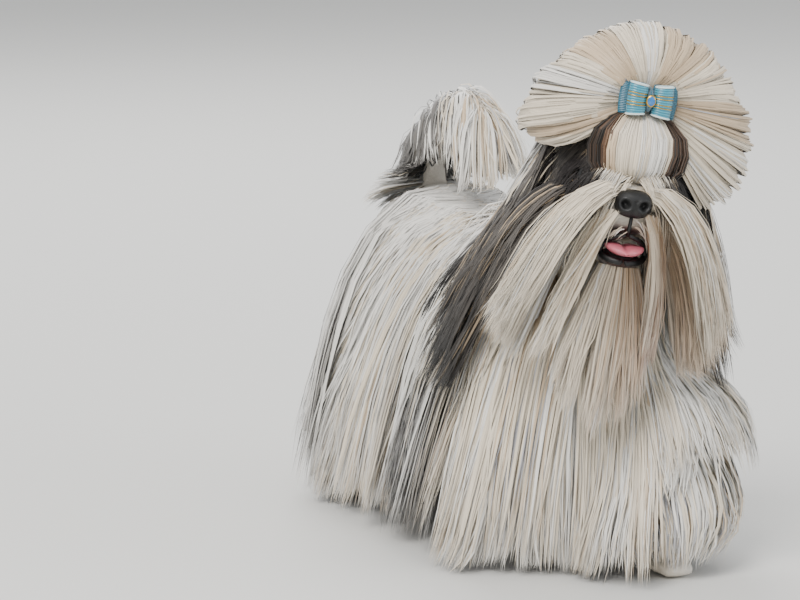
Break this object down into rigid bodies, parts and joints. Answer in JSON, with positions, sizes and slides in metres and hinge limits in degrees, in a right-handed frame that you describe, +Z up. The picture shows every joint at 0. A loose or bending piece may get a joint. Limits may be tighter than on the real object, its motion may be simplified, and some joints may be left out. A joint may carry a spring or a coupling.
{
  "type": "shih tzu",
  "caption": "Life-size still model of a walking shih tzu in full show coat, with a fanned topknot held by a ribbon bow and a plumed tail over its back.",
  "frame": {"origin": "on the floor, under the middle of the outline's box", "axes": "+Z up; the dog faces -Y, its right side is at -X"},
  "size_m": [0.2666, 0.5234, 0.4297],
  "materials": {
    "white_hair": "long silky white and cream hair",
    "grey_hair": "long grey hair with black tips",
    "nose_pad": "moist black leather",
    "eye": "dark brown, wet and glossy",
    "tongue": "moist pink flesh",
    "ribbon": "teal satin ribbon with gold marks"
  },
  "bodies": {
    "root": {"bow_back_left": "ribbon", "bow_back_right": "ribbon", "bow_knot": "ribbon", "bow_loop_left": "ribbon", "bow_loop_right": "ribbon", "chest": "white_hair", "ear_left": "grey_hair", "ear_right": "grey_hair", "eye_left": "eye", "eye_right": "eye", "foreleg_left": "white_hair", "foreleg_right": "white_hair", "forelock": "white_hair", "head": "white_hair", "hindleg_left": "white_hair", "hindleg_right": "white_hair", "lower_jaw": "white_hair", "neck": "white_hair", "nose": "nose_pad", "rump_left": "white_hair", "rump_right": "white_hair", "tail_plume": "white_hair", "tail_root": "white_hair", "tongue": "tongue", "topknot": "white_hair", "torso_left": "white_hair", "torso_right": "white_hair"}
  },
  "joints": []
}
